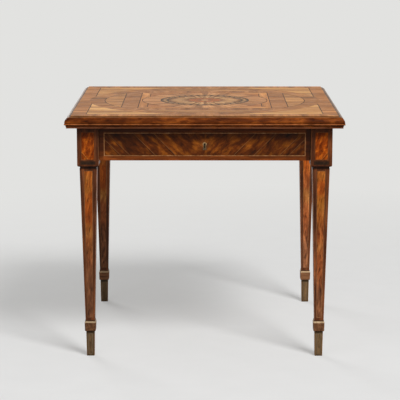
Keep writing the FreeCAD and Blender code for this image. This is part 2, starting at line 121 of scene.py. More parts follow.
def noise(tree, vector, scale=1.0, detail=2.0, roughness=0.5):
    inputs = {"Vector": vector, "Scale": scale, "Detail": detail, "Roughness": roughness}
    return addNode(tree, "ShaderNodeTexNoise", inputs).outputs[0]


def remap(tree, value, low, high, toLow=0.0, toHigh=1.0):
    return addNode(tree, "ShaderNodeMapRange", {0: value, 1: low, 2: high, 3: toLow, 4: toHigh}).outputs[0]


def between(tree, value, low, high, soft):
    # 1 from low to high, falling to 0 over a soft distance outside
    rise = remap(tree, value, low - soft, low)
    return times(tree, rise, remap(tree, value, high, high + soft, 1.0, 0.0))


def less(tree, mask, share):
    # 1 outside a mask, less by a share inside it
    return remap(tree, mask, 0.0, 1.0, 1.0, 1.0 - share)


def mixValue(tree, factor, first, second):
    return addNode(tree, "ShaderNodeMix", {0: factor, 2: first, 3: second}).outputs[0]


def mixColour(tree, factor, first, second, blend="MIX"):
    inputs = {0: factor, 6: first, 7: second}
    return addNode(tree, "ShaderNodeMix", inputs, data_type="RGBA", blend_type=blend).outputs[2]


def stain(tree, colour, mask, tone):
    # one plain tone over a colour, where a mask says
    return mixColour(tree, mask, colour, srgb(*tone))


def grey(tree, value):
    return addNode(tree, "ShaderNodeCombineColor", {0: value, 1: value, 2: value}).outputs[0]


def dim(tree, colour, light):
    # a colour times a brightness
    return mixColour(tree, 1.0, colour, grey(tree, light), "MULTIPLY")


def ramp(tree, factor, stops):
    made = addNode(tree, "ShaderNodeValToRGB", {0: factor})
    points = made.color_ramp.elements
    while len(points) < len(stops):
        points.new(0.5)
    for point, (place, colour) in zip(points, stops):
        point.position = place
        point.color = colour
    return made.outputs[0]


def newGroup(name, values, results):
    # a group that takes a vector and some values, and gives values
    group = bpy.data.node_groups.new(name, "ShaderNodeTree")
    group.interface.new_socket("Vector", in_out="INPUT", socket_type="NodeSocketVector")
    for way, names in (("INPUT", values), ("OUTPUT", results)):
        for socketName in names:
            group.interface.new_socket(socketName, in_out=way, socket_type="NodeSocketFloat")
    return group, group.nodes.new("NodeGroupInput").outputs, group.nodes.new("NodeGroupOutput")


def useGroup(tree, group, inputs):
    made = tree.nodes.new("ShaderNodeGroup")
    made.node_tree = group
    return fill(tree, made, inputs).outputs


# Place on a four-sided piece: along the nearest side, outward from the middle, and height
def makeSideSpace():
    group, given, result = newGroup("sideSpace", [], ["Along", "Outward", "Height"])
    x, y, z = separate(group, given["Vector"])
    absX, absY = absolute(group, x), absolute(group, y)
    along = maths(group, "MULTIPLY_ADD", minus(group, y, x), over(group, absX, absY), x)
    fill(group, result, {"Along": along, "Outward": largest(group, absX, absY), "Height": z})
    return group


# Radius and angle about the vector's Z axis
def makeRoundSpace():
    group, given, result = newGroup("roundSpace", [], ["Radius", "Angle"])
    x, y = separate(group, given["Vector"])[:2]
    squares = maths(group, "MULTIPLY_ADD", x, x, times(group, y, y))
    fill(group, result, {"Radius": maths(group, "SQRT", squares), "Angle": maths(group, "ARCTAN2", y, x)})
    return group


# Wood with its fibres along X of its vector: broad figure, dark veins, fine streaks, open pores and a height.
# Finer squeezes the noise, grain is its detail and roughness, and range is what it is stretched from.
figureMake = {
    "seedSteps": (1.7, 2.3), "waveScale": 6.0, "waveMiddle": (0.5, 0.5, 0.5),
    "figureGrain": (4.0, 0.62), "figureRange": (0.30, 0.70),
    "veinFiner": 2.6, "veinShift": (3.1, 7.7, 5.3), "veinGrain": (3.0, 0.6), "veinRange": (0.54, 0.70),
    "streakFiner": (9.0, 420.0, 420.0), "streakGrain": (3.0, 0.6), "streakRange": (0.25, 0.75),
    "poreFiner": (55.0, 1500.0, 1500.0), "poreDetail": 1.0, "poreRange": (0.60, 0.70), "streakRise": 0.4,
}


def makeWoodFigure(make):
    group, given, result = newGroup("woodFigure", ["Figure Width", "Stretch", "Waviness", "Seed"],
                                    ["Figure", "Vein", "Streak", "Pore", "Height"])
    seed = given["Seed"]
    shift = combine(group, seed, *[times(group, seed, step) for step in make["seedSteps"]])
    place = vecMaths(group, "ADD", given["Vector"], shift)
    wave = addNode(group, "ShaderNodeTexNoise", {"Vector": place, "Scale": make["waveScale"]}).outputs[1]
    wave = vecMaths(group, "SUBTRACT", wave, make["waveMiddle"])
    bent = vecMaths(group, "ADD", place, scaled(group, wave, given["Waviness"]))
    stretched = vecMaths(group, "MULTIPLY", bent, combine(group, given["Stretch"], 1.0, 1.0))
    broad = scaled(group, stretched, maths(group, "DIVIDE", 1.0, given["Figure Width"]))
    figure = noise(group, broad, 1.0, *make["figureGrain"])
    veinPlace = vecMaths(group, "ADD", scaled(group, broad, make["veinFiner"]), make["veinShift"])
    vein = noise(group, veinPlace, 1.0, *make["veinGrain"])
    streak = noise(group, vecMaths(group, "MULTIPLY", bent, make["streakFiner"]), 1.0, *make["streakGrain"])
    pore = noise(group, vecMaths(group, "MULTIPLY", bent, make["poreFiner"]), 1.0, make["poreDetail"])
    pore = remap(group, pore, *make["poreRange"])
    fill(group, result, {"Figure": remap(group, figure, *make["figureRange"]),
                         "Vein": remap(group, vein, *make["veinRange"]),
                         "Streak": remap(group, streak, *make["streakRange"]), "Pore": pore,
                         "Height": minus(group, times(group, streak, make["streakRise"]), pore)})
    return group


# Old polish: cloudy fading, patches from well rubbed at 0 to hardly rubbed at 1, scratches and dark specks.
# Each noise has its scale, detail and roughness, and the range that it is stretched from.
polishMake = {
    "fade": (5.5, 3.0, 0.55), "fadeRange": (0.3, 0.7), "rub": (42.0, 4.0, 0.65), "rubRange": (0.35, 0.75),
    "scratchFiner": (40.0, 700.0, 250.0), "scratchRange": (0.62, 0.72),
    "speck": (190.0, 2.0, 0.6), "speckRange": (0.66, 0.74),
}


def makeOldPolish(make):
    group, given, result = newGroup("oldPolish", ["Seed"], ["Fade", "Rub", "Scratch", "Speck"])
    seed = given["Seed"]
    place = vecMaths(group, "ADD", given["Vector"], combine(group, seed, seed, seed))
    scratch = noise(group, vecMaths(group, "MULTIPLY", place, make["scratchFiner"]))
    fill(group, result, {"Fade": remap(group, noise(group, place, *make["fade"]), *make["fadeRange"]),
                         "Rub": remap(group, noise(group, place, *make["rub"]), *make["rubRange"]),
                         "Scratch": remap(group, scratch, *make["scratchRange"]),
                         "Speck": remap(group, noise(group, place, *make["speck"]), *make["speckRange"])})
    return group


sideSpace = makeSideSpace()
roundSpace = makeRoundSpace()
woodFigure = makeWoodFigure(figureMake)
oldPolish = makeOldPolish(polishMake)
print("shared effects done:", len(bpy.data.node_groups))


def startMaterial(name):
    material = bpy.data.materials.new(name)
    material.use_nodes = True
    tree = material.node_tree
    place = addNode(tree, "ShaderNodeTexCoord").outputs["Object"]
    return material, tree, tree.nodes["Principled BSDF"], place


# What all woods share: how the figure is drawn, how far each effect darkens, and the finish of the surface
plainWood = {
    "cut": "up", "seed": 0.0, "figureWidth": 0.02, "stretch": 0.11, "waviness": 0.02, "turnReach": 0.35,
    "vein": 0.4, "streak": 0.22, "pore": 0.35, "fade": 0.12, "speck": 0.4,
    "rough": 0.42, "smoother": 0.08, "rougher": 0.12, "gloss": 0.09, "coat": 0.03, "coatRough": 0.2,
    "relief": 0.25, "reliefDepth": 0.0004, "scratchDepth": 0.5,
}
rubSpan = (0.2, 0.9)  # where in the rubbed patches wear changes from its first value to its second


# The vector that a wood's fibres follow, for each way a piece is cut
def grainVector(tree, place, look):
    x, y, z = separate(tree, place)
    if look["cut"] == "up":
        return combine(tree, z, x, y)
    if look["cut"] == "deep":
        return combine(tree, y, x, z)
    if look["cut"] == "wide":
        return place
    if look["cut"] == "round":
        spot = useGroup(tree, roundSpace, {"Vector": place})
        return combine(tree, spot["Radius"], times(tree, spot["Angle"], look["turnReach"]), 0.0)
    side = useGroup(tree, sideSpace, {"Vector": place})
    if look["cut"] == "cross":
        return combine(tree, side["Outward"], side["Along"], side["Height"])
    return combine(tree, side["Along"], side["Outward"], side["Height"])


def startWood(name, look, vectorMaker=grainVector):
    material, tree, shader, place = startMaterial(name)
    figure = useGroup(tree, woodFigure, {"Vector": vectorMaker(tree, place, look), "Seed": look["seed"],
                                         "Figure Width": look["figureWidth"], "Stretch": look["stretch"],
                                         "Waviness": look["waviness"]})
    polish = useGroup(tree, oldPolish, {"Vector": place, "Seed": look["seed"]})
    return material, tree, shader, place, figure, polish


def woodTone(tree, figure, tones):
    dark, middle, light = [srgb(*tone) for tone in tones]
    return ramp(tree, figure["Figure"], [(0.0, dark), (0.5, middle), (1.0, light)])


def rubbed(tree, polish, wear):
    return remap(tree, polish["Rub"], *rubSpan, *wear)


def patchyRough(tree, patches, look):
    return remap(tree, patches, 0.0, 1.0, look["rough"] - look["smoother"], look["rough"] + look["rougher"])


def finishWood(tree, shader, colour, figure, polish, look, shade=1.0):
    light = times(tree, remap(tree, figure["Streak"], 0.0, 1.0, 1.0 - look["streak"], 1.0 + look["streak"]),
                  remap(tree, polish["Fade"], 0.0, 1.0, 1.0 - look["fade"], 1.0 + look["fade"]),
                  less(tree, figure["Pore"], look["pore"]), less(tree, figure["Vein"], look["vein"]),
                  less(tree, polish["Speck"], look["speck"]), shade)
    height = minus(tree, figure["Height"], times(tree, polish["Scratch"], look["scratchDepth"]))
    bump = addNode(tree, "ShaderNodeBump", {"Strength": look["relief"], "Distance": look["reliefDepth"],
                                            "Height": height})
    fill(tree, shader, {"Base Color": dim(tree, colour, light), "Normal": bump.outputs[0],
                        "Roughness": patchyRough(tree, polish["Rub"], look),
                        "Specular IOR Level": look["gloss"], "Coat Weight": look["coat"],
                        "Coat Roughness": look["coatRough"]})


def makeWood(name, look):
    material, tree, shader, place, figure, polish = startWood(name, look)
    finishWood(tree, shader, woodTone(tree, figure, look["tones"]), figure, polish, look)
    return material


def paint(material, *names):
    for name in names:
        nodes[name].data.materials.clear()
        nodes[name].data.materials.append(material)


# Places in the looks below are in metres. Two are where a change starts and ends, three are a band's edges
# and its softness, and four end with the values at the start and the end of a change.

# Leg posts: dark walnut with rubbed arrises, greyer at the feet, painted shade in the grooves and under the
# top, and darker near the floor
legLook = {
    **plainWood, "tones": [(40, 18, 8), (78, 40, 20), (122, 68, 36)],
    "footTones": [(62, 46, 28), (84, 64, 40), (104, 80, 52)], "wornTone": (150, 100, 62),
    "greyStart": (collarBottom + 0.006, collarBottom - 0.001), "arris": (0.0004, 0.0022), "wear": (0.6, 0.0),
    "shaft": (collarTop, blockBottom - 0.005), "shaftHalf": (0.0145, 0.02625),
    "blockStart": (blockBottom - 0.001, blockBottom + 0.001),
    "foot": (0.0, collarBottom - 0.002), "footHalf": (0.01175, 0.013),
    "footStart": (collarBottom, collarBottom - 0.001),
    # painted shade under the top; darker near the floor; painted shade in the neck and foot grooves
    "topShadow": (legTop - 0.023, legTop - 0.001), "topShadowLight": 0.45,
    "nearFloor": (0.0, 0.012), "nearFloorLight": 0.7,
    "neckGroove": (blockBottom - 0.006, blockBottom, 0.003), "neckShade": 0.75,
    "footGroove": (collarBottom - 0.005, collarBottom, 0.004), "footShade": 0.6,
}


def makeLegTimber(look):
    material, tree, shader, place, figure, polish = startWood("legTimber_" + look["corner"], look)
    x, y, z = separate(tree, place)
    colour = mixColour(tree, remap(tree, z, *look["greyStart"]), woodTone(tree, figure, look["tones"]),
                       woodTone(tree, figure, look["footTones"]))
    # arrises: where both distances from the leg's middle come near its half width at that height
    fromMiddle = [absolute(tree, minus(tree, absolute(tree, axis), legCentre)) for axis in (x, y)]
    half = remap(tree, z, *look["shaft"], *look["shaftHalf"])
    half = mixValue(tree, remap(tree, z, *look["blockStart"]), half, blockHalf)
    half = mixValue(tree, remap(tree, z, *look["footStart"]), half,
                    remap(tree, z, *look["foot"], *look["footHalf"]))
    inside = minus(tree, half, maths(tree, "MINIMUM", *fromMiddle))
    worn = times(tree, remap(tree, inside, *look["arris"], 1.0, 0.0), rubbed(tree, polish, look["wear"]))
    colour = stain(tree, colour, worn, look["wornTone"])
    # each leg's painted lightness, painted shade under the top and in the grooves, and darker near the floor
    paintedLightShadeAndGrime = times(tree, look["leaf"], remap(tree, z, *look["topShadow"], 1.0, look["topShadowLight"]),
                  remap(tree, z, *look["nearFloor"], look["nearFloorLight"], 1.0),
                  less(tree, between(tree, z, *look["neckGroove"]), look["neckShade"]),
                  less(tree, between(tree, z, *look["footGroove"]), look["footShade"]))
    finishWood(tree, shader, colour, figure, polish, look, paintedLightShadeAndGrime)
    return material


# Leg panels: orange veneer on the blocks and the upper shafts, browner lower down, grey feet,
# a dark band of painted shade on each block's lower moulding, and painted shade under the top.
# A block's panel is two leaves that meet on a slanting joint low down.
panelLook = {
    **plainWood, "figureWidth": 0.016, "stretch": 0.22, "vein": 0.65, "waviness": 0.06, "streak": 0.28,
    "tones": [(104, 44, 12), (152, 72, 22), (194, 104, 36)],
    "blockTones": [(80, 28, 2), (138, 58, 8), (204, 104, 24)],
    "goldTones": [(112, 64, 20), (156, 94, 34), (192, 128, 58)],
    "lowTones": [(62, 36, 22), (114, 69, 43), (164, 106, 68)],
    "footTones": [(76, 58, 38), (100, 76, 50), (118, 92, 62)],
    # tones of the dark band of painted shade low on the block
    "blockShadeTones": [(30, 18, 10), (44, 27, 15), (60, 38, 22)],
    "leanStart": (blockBottom, blockBottom + 0.010), "lean": (0.15, 0.75),
    "goldGrain": (14.0, 2.0), "goldRange": (0.45, 0.65), "goldZone": (0.36, 0.56, 0.05),
    "lowZone": (0.22, 0.50), "cloud": 0.16, "greyStart": (collarBottom - 0.0005, collarBottom - 0.0010),
    "blockStart": (blockBottom + 0.010, blockBottom + 0.012),
    "blockShadeBand": (blockBottom + 0.006, blockBottom + 0.020, 0.0005),
    "leafStart": (blockBottom + 0.0204, blockBottom + 0.0208), "lowerLeaf": 0.15,
    "faceMiddle": 2 * legCentre + blockHalf, "jointHeight": blockBottom + 0.0225, "jointSlope": 1.22,
    "paleJoint": (0.0, 0.0014, 0.0007), "paleTone": (196, 120, 54), "wear": (0.8, 0.4),
    "darkJoint": (-0.0028, -0.0012, 0.0008), "jointDirt": 0.6,
    # painted shade under the top
    "topShadow": (legTop - 0.033, legTop - 0.011), "topShadowLight": 0.5,
}


def panelVector(tree, place, look):
    # fibres lean a little on the shafts and much more on the blocks
    x, y, z = separate(tree, place)
    sideways = plus(tree, x, y)
    lean = remap(tree, z, *look["leanStart"], *look["lean"])
    along = maths(tree, "MULTIPLY_ADD", sideways, lean, z)
    return combine(tree, along, minus(tree, sideways, times(tree, z, lean)), minus(tree, x, y))


def makeLegPanels(look):
    name = "legPanels_" + look["corner"]
    material, tree, shader, place, figure, polish = startWood(name, look, panelVector)
    x, y, z = separate(tree, place)

    def tone(kind):
        return woodTone(tree, figure, look[kind])

    gold = times(tree, remap(tree, noise(tree, place, *look["goldGrain"]), *look["goldRange"]),
                 between(tree, z, *look["goldZone"]))
    clouded = plus(tree, z, times(tree, minus(tree, polish["Fade"], 0.5), look["cloud"]))
    colour = mixColour(tree, gold, tone("tones"), tone("goldTones"))
    colour = mixColour(tree, remap(tree, clouded, *look["lowZone"]), tone("lowTones"), colour)
    colour = mixColour(tree, remap(tree, z, *look["greyStart"]), colour, tone("footTones"))
    colour = mixColour(tree, remap(tree, z, *look["blockStart"]), colour, tone("blockTones"))
    # painted shade: a dark band on the block's downward-facing lower moulding
    colour = mixColour(tree, between(tree, z, *look["blockShadeBand"]), colour, tone("blockShadeTones"))
    # height above the slanting joint, which runs across each face of the block
    alongFace = minus(tree, plus(tree, absolute(tree, x), absolute(tree, y)), look["faceMiddle"])
    above = minus(tree, z, maths(tree, "MULTIPLY_ADD", alongFace, look["jointSlope"], look["jointHeight"]))
    onLeaf = remap(tree, z, *look["leafStart"])
    pale = times(tree, between(tree, above, *look["paleJoint"]), onLeaf, rubbed(tree, polish, look["wear"]))
    colour = stain(tree, colour, pale, look["paleTone"])
    joint = times(tree, between(tree, above, *look["darkJoint"]), onLeaf)
    lowerLeaf = times(tree, over(tree, 0.0, above), onLeaf)
    # the leg's painted lightness and painted shade under the top, with the dark joint and the lower leaf's
    # own tone
    shade = times(tree, look["leaf"], remap(tree, z, *look["topShadow"], 1.0, look["topShadowLight"]),
                  less(tree, joint, look["jointDirt"]), less(tree, lowerLeaf, look["lowerLeaf"]))
    finishWood(tree, shader, colour, figure, polish, look, shade)
    return material


# Light stringing, yellowed, browner on the blocks and nearly lost in the polish low on the legs
stringLook = {
    **plainWood, "seed": 3.0, "tones": [(132, 86, 50), (170, 120, 76), (206, 158, 110)],
    "blockTones": [(78, 42, 20), (112, 66, 34), (150, 98, 56)],
    "legTones": [(84, 54, 34), (118, 80, 52), (150, 106, 70)],
    "footTones": [(84, 70, 54), (106, 90, 72), (124, 106, 86)],
    "blockInner": legCentre - blockHalf - 0.001, "blockStart": (blockBottom, blockBottom + 0.020),
    "greyStart": (collarBottom - 0.0005, collarBottom - 0.0010), "rubLight": (1.1, 0.7),
}


def makeStringing(look):
    material, tree, shader, place, figure, polish = startWood("lightStringing", look)
    x, y, z = separate(tree, place)
    inner = maths(tree, "MINIMUM", absolute(tree, x), absolute(tree, y))
    upper = mixColour(tree, over(tree, inner, look["blockInner"]), woodTone(tree, figure, look["tones"]),
                      woodTone(tree, figure, look["blockTones"]))
    colour = mixColour(tree, remap(tree, z, *look["blockStart"]), woodTone(tree, figure, look["legTones"]),
                       upper)
    colour = mixColour(tree, remap(tree, z, *look["greyStart"]), colour,
                       woodTone(tree, figure, look["footTones"]))
    shade = remap(tree, polish["Rub"], 0.0, 1.0, *look["rubLight"])
    finishWood(tree, shader, colour, figure, polish, look, shade)
    return material


# Collars: brown cross-cut wood with a pale bevel, worn and painted lighter as a highlight,
# painted shade and grime above it, and darker at the lower edge
collarLook = {
    **plainWood, "cut": "cross", "figureWidth": 0.008, "rough": 0.5,
    "tones": [(78, 48, 30), (112, 74, 48), (142, 98, 64)],
    # bevel tones: worn paler and painted lighter as a highlight
    "bevelTones": [(150, 122, 90), (186, 158, 122), (206, 180, 146)],
    "bevel": (collarTop - 0.0082, collarTop - 0.0038, 0.0006), "wear": (1.0, 0.55),
    "lip": (collarTop - 0.0036, collarTop - 0.0030), "lipLight": 0.45,
    "lowerEdge": (collarBottom, collarBottom + 0.004), "lowerLight": 0.55,
}


def makeCollars(look):
    material, tree, shader, place, figure, polish = startWood("collarTimber_" + look["corner"], look)
    z = separate(tree, place)[2]
    # the bevel is worn paler and painted lighter as a highlight
    worn = times(tree, between(tree, z, *look["bevel"]), rubbed(tree, polish, look["wear"]))
    colour = mixColour(tree, worn, woodTone(tree, figure, look["tones"]),
                       woodTone(tree, figure, look["bevelTones"]))
    # the leg's painted lightness, painted shade and grime above the bevel, and darker at the lower edge
    paintedLightShadeAndGrime = times(tree, look["leaf"], remap(tree, z, *look["lip"], 1.0, look["lipLight"]),
                  remap(tree, z, *look["lowerEdge"], look["lowerLight"], 1.0))
    finishWood(tree, shader, colour, figure, polish, look, paintedLightShadeAndGrime)
    return material


# Edge moulding: nose bead and lower fillet worn and painted lighter as a highlight, a painted highlight on
# the upper arris and along the sides' upper rim, and painted shade in the quirks.
# Its heights are above the moulding's underside.
mouldingLook = {
    **plainWood, "cut": "side", "seed": 5.0, "gloss": 0.03, "rough": 0.4, "stretch": 0.3, "waviness": 0.05,
    "vein": 0.5, "tones": [(56, 21, 4), (100, 46, 12), (156, 82, 28)], "wear": (0.75, 0.25),
    # bead and fillet: worn and painted lighter as a highlight
    "bead": (0.0110, 0.0136, 0.0010), "beadTone": (176, 104, 58),
    "fillet": (0.0, 0.0046, 0.0006), "filletTone": (116, 72, 50),
    # painted highlight on the upper arris and along the sides' upper rim
    "arch": (0.0310, 0.0332), "archHighlight": 0.6, "archHighlightTone": (150, 102, 64),
    "sideRim": (0.0250, 0.0300), "sideRimHighlight": 0.75, "sideRimHighlightTone": (150, 126, 106),
    # painted shade in the quirks, at the field's edge and inside the sides' rim
    "quirks": [(0.0147, 0.0156, 0.0005), (0.0089, 0.0099, 0.0005)], "paintedShade": 0.72,
    "upperQuirk": (0.0334, 0.0340), "upperShade": 0.6, "sideQuirk": (0.0328, 0.0334), "sideShade": 1.15,
}


def makeMoulding(look):
    material, tree, shader, place, figure, polish = startWood("mouldedFrame", look)
    x, y, z = separate(tree, place)
    up = minus(tree, z, mouldingBottom)
    onSides = over(tree, absolute(tree, x), absolute(tree, y))
    wear = rubbed(tree, polish, look["wear"])
    arch = times(tree, remap(tree, up, *look["arch"]), look["archHighlight"])
    sideRim = times(tree, remap(tree, up, *look["sideRim"]), onSides, look["sideRimHighlight"])
    colour = woodTone(tree, figure, look["tones"])
    # bead and fillet worn and painted lighter as a highlight, then painted highlights on the upper arris and
    # the sides' rim
    colour = stain(tree, colour, times(tree, between(tree, up, *look["bead"]), wear), look["beadTone"])
    colour = stain(tree, colour, times(tree, between(tree, up, *look["fillet"]), wear), look["filletTone"])
    colour = stain(tree, colour, arch, look["archHighlightTone"])
    colour = stain(tree, colour, sideRim, look["sideRimHighlightTone"])
    # painted shade in the quirks, at the field's edge and inside the sides' rim
    paintedShade = largest(tree, *[between(tree, up, *quirk) for quirk in look["quirks"]],
                   times(tree, remap(tree, up, *look["upperQuirk"]), look["upperShade"]),
                   times(tree, remap(tree, up, *look["sideQuirk"]), onSides, look["sideShade"]))
    shade = minus(tree, 1.0, times(tree, paintedShade, look["paintedShade"]))
    finishWood(tree, shader, colour, figure, polish, look, shade)
    return material


# Frieze: plain walnut round the panels, painted shadow of the leg blocks at the ends, stronger at the right,
# painted shade under the top, and lighter below the panels
friezeLook = {
    **plainWood, "cut": "side", "seed": 6.0, "tones": [(60, 26, 7), (94, 44, 14), (138, 70, 26)],
    # painted shadow of the leg blocks at the ends, stronger at the right; painted shade under the top
    "ends": (stringEnd, stringEnd + 0.004), "blockShadowLight": 0.65, "rightBlockShadowLight": 0.5,
    "topShadow": (legTop - 0.020, legTop - 0.001), "topShadowLight": 0.35,
    "lowerEdge": (panelBottom - 0.0036, panelBottom + 0.0004), "lowerLight": 1.4,
}


def makeFrieze(look):
    material, tree, shader, place, figure, polish = startWood("friezeTimber", look)
    side = useGroup(tree, sideSpace, {"Vector": place})
    # painted shadow of the leg blocks at the ends, painted shade under the top, lighter below the panels
    shade = times(tree, remap(tree, absolute(tree, side["Along"]), *look["ends"], 1.0, look["blockShadowLight"]),
                  remap(tree, side["Along"], *look["ends"], 1.0, look["rightBlockShadowLight"]),
                  remap(tree, side["Height"], *look["topShadow"], 1.0, look["topShadowLight"]),
                  remap(tree, side["Height"], *look["lowerEdge"], look["lowerLight"], 1.0))
    finishWood(tree, shader, woodTone(tree, figure, look["tones"]), figure, polish, look, shade)
    return material


# Frieze panels: slanting strips whose fibres rise outward from the middle, each with its own tone,
# parted by pale seams with a painted shadow beside each, and painted shade under the top;
# a seam's place is where it meets the panel's lower edge
chevronLook = {
    **plainWood, "seed": 7.0, "figureWidth": 0.02, "stretch": 0.45, "waviness": 0.05, "vein": 0.35,
    "tones": [(44, 17, 4), (93, 43, 10), (150, 82, 23)], "patches": (0.1, 0.9, 0.78, 1.2),
    "seams": [0.088, 0.150, 0.228, 0.256], "stripGains": [1.2, 1.15, 0.85, 0.95, 0.85],
    "halfShift": 0.53, "stripShift": 0.37,
    "paleSeam": (-0.0008, 0.0008, 0.0006), "paleTone": (150, 98, 58), "paleWear": (0.2, 0.8, 0.75, 0.2),
    # painted shadow beside each seam
    "seamShadowBand": (0.0016, 0.0040, 0.0010), "seamShadow": 0.5,
    "keyHeight": keyPlateTop - 0.0085, "handled": (0.008, 0.022, 0.22, 0.0), "handledTone": (150, 92, 48),
    # painted shade under the top
    "frontLine": panelBack + 0.003, "topShadow": (legTop - 0.048, legTop - 0.017), "topShadowLight": 0.5,
}
diagonal = math.sqrt(0.5)  # of the strips' 45 degrees


def stripPlace(tree, place):
    # a strip rises at 45 degrees, so its foot is its distance from the middle less its height on the panel
    side = useGroup(tree, sideSpace, {"Vector": place})
    half = absolute(tree, side["Along"])
    return side, half, minus(tree, half, minus(tree, side["Height"], panelBottom))


def chevronVector(tree, place, look):
    side, half, foot = stripPlace(tree, place)
    rise = times(tree, plus(tree, half, side["Height"]), diagonal)
    across = times(tree, minus(tree, side["Height"], half), diagonal)
    leaf = maths(tree, "MULTIPLY_ADD", over(tree, side["Along"], 0.0), look["halfShift"], side["Outward"])
    for seamPlace in look["seams"]:
        leaf = maths(tree, "MULTIPLY_ADD", over(tree, foot, seamPlace), look["stripShift"], leaf)
    return combine(tree, rise, across, leaf)


def makeChevron(look):
    material, tree, shader, place, figure, polish = startWood("friezeVeneer", look, chevronVector)
    x, y, z = separate(tree, place)
    foot = stripPlace(tree, place)[2]
    gain, pale, paintedShade = look["stripGains"][0], 0.0, 0.0
    for seamPlace, stripGain in zip(look["seams"], look["stripGains"][1:]):
        past = minus(tree, foot, seamPlace)
        gain = mixValue(tree, over(tree, past, 0.0), gain, stripGain)
        pale = largest(tree, pale, between(tree, past, *look["paleSeam"]))
        # painted shadow beside the seam
        paintedShade = largest(tree, paintedShade, between(tree, past, *look["seamShadowBand"]))
    pale = times(tree, pale, remap(tree, polish["Rub"], *look["paleWear"]))
    colour = stain(tree, woodTone(tree, figure, look["tones"]), pale, look["paleTone"])
    # hands have rubbed the drawer front lighter round the keyhole
    fromKey = useGroup(tree, roundSpace, {"Vector": combine(tree, x, minus(tree, z, look["keyHeight"]), 0.0)})
    handled = times(tree, remap(tree, fromKey["Radius"], *look["handled"]), over(tree, look["frontLine"], y))
    colour = stain(tree, colour, handled, look["handledTone"])
    # painted shadow beside the seams and painted shade under the top
    shade = times(tree, gain, less(tree, paintedShade, look["seamShadow"]),
                  remap(tree, polish["Rub"], *look["patches"]),
                  remap(tree, z, *look["topShadow"], 1.0, look["topShadowLight"]))
    finishWood(tree, shader, colour, figure, polish, look, shade)
    return material


# How light each leg's post, panels and collar are painted: painted light and shade for how the lamps fall on
# each leg
legLighting = {
    "front_left": {"post": 1.25, "panels": 1.0, "collar": 0.78, "seed": 1.0},
    "front_right": {"post": 1.4, "panels": 1.2, "collar": 1.1, "seed": 2.0},
    "back_left": {"post": 1.35, "panels": 1.1, "collar": 1.45, "seed": 3.0},
    "back_right": {"post": 1.5, "panels": 1.75, "collar": 1.6, "seed": 4.0},
}
for corner, lighting in legLighting.items():
    own = {"corner": corner, "seed": lighting["seed"]}
    # leaf carries the leg's painted light and shade
    paint(makeLegTimber({**legLook, **own, "leaf": lighting["post"]}), "leg_" + corner)
    paint(makeLegPanels({**panelLook, **own, "leaf": lighting["panels"]}), "leg_panels_" + corner)
    paint(makeCollars({**collarLook, **own, "leaf": lighting["collar"]}), "leg_collar_" + corner)
paint(makeStringing(stringLook), "apron_stringing", "drawer_stringing",
      *["leg_stringing_" + corner for corner in legLighting])
paint(makeMoulding(mouldingLook), *["top_frame_" + side for side in ("front", "right", "back", "left")])
paint(makeFrieze(friezeLook), "apron_left", "apron_right", "apron_back", "drawer_front")
paint(makeChevron(chevronLook), "apron_panels", "drawer_panels")
print("legs, frieze and moulding painted")

# Veneers of the top: the way each is cut and its dark, middle and light tones
topWood = {
    **plainWood, "seed": 10.0, "figureWidth": 0.04, "stretch": 0.07, "streak": 0.2, "pore": 0.25,
    "vein": 0.25, "gloss": 0.05, "coat": 0.02, "rough": 0.5,
}
topLooks = {
    "top_border_veneer": {"cut": "cross", "tones": [(115, 75, 42), (163, 108, 62), (207, 144, 88)]},
    "top_corner_veneer": {"cut": "wide", "tones": [(135, 92, 54), (189, 134, 79), (230, 177, 113)]},
    "top_ring_veneer": {"cut": "round", "tones": [(122, 82, 48), (160, 107, 63), (195, 138, 86)]},
    "top_segment_veneer": {"cut": "wide", "tones": [(129, 89, 52), (171, 119, 72), (209, 151, 93)]},
    "top_band_veneer": {"cut": "cross", "tones": [(110, 74, 43), (161, 108, 66), (201, 143, 91)]},
    "top_centre_border_veneer": {"cut": "side", "tones": [(133, 88, 49), (184, 123, 71), (222, 156, 94)]},
    "top_centre_corner_veneer": {"cut": "wide", "tones": [(120, 76, 43), (166, 107, 62), (206, 139, 82)]},
    "top_medallion_ring": {"cut": "round", "tones": [(112, 76, 47), (174, 120, 76), (223, 162, 107)]},
    "top_stringing": {"cut": "round", "tones": [(16, 9, 5), (26, 15, 9), (40, 24, 14)]},
}
for index, (name, look) in enumerate(topLooks.items()):
    paint(makeWood(name + "_wood", {**topWood, **look, "seed": topWood["seed"] + index}), name)

# Medallion: a traditional rosette of two rings of petals inside a band of lozenges.
# Radii and lengths are in metres, and a petal's fat is a share of the turn that it has.
rosetteLook = {
    **topWood, "cut": "round", "seed": 25.0,
    "groundTones": [(104, 66, 36), (130, 86, 50), (152, 106, 66)],
    "rimTones": [(56, 42, 28), (76, 58, 40), (96, 76, 54)],
    "creamTones": [(168, 122, 76), (204, 154, 102), (226, 178, 124)],
    "redTones": [(150, 82, 44), (186, 108, 62), (208, 132, 80)],
    "petalRings": [{"count": 16, "start": 0.045, "length": 0.070, "fat": 0.46, "tones": "creamTones"},
                   {"count": 8, "start": 0.012, "length": 0.046, "fat": 0.44, "tones": "redTones"}],
    "swell": 1.4, "petalEdge": (0.0, 0.03), "rib": (0.05, 0.02), "ribTone": (92, 64, 42),
    "scorch": (0.1, 0.9, 0.72, 1.08), "heart": (0.0125, 0.0120), "rim": (0.1175, 0.1180),
    "lozenges": 36, "lozengeRadius": 0.1305, "lozengeReach": 0.0095, "lozengeTaper": 2.2,
    "lozengeEdge": (1.0, 0.95), "lozengeTint": (0.75, 0.72, 0.7, 1.0),
}


def turnShare(tree, spot, count):
    # 0 to 1 over each of a count of equal turns, and how far that is from the turn's middle
    share = maths(tree, "FRACT", times(tree, spot["Angle"], count / (2 * math.pi)))
    return share, absolute(tree, minus(tree, share, 0.5))


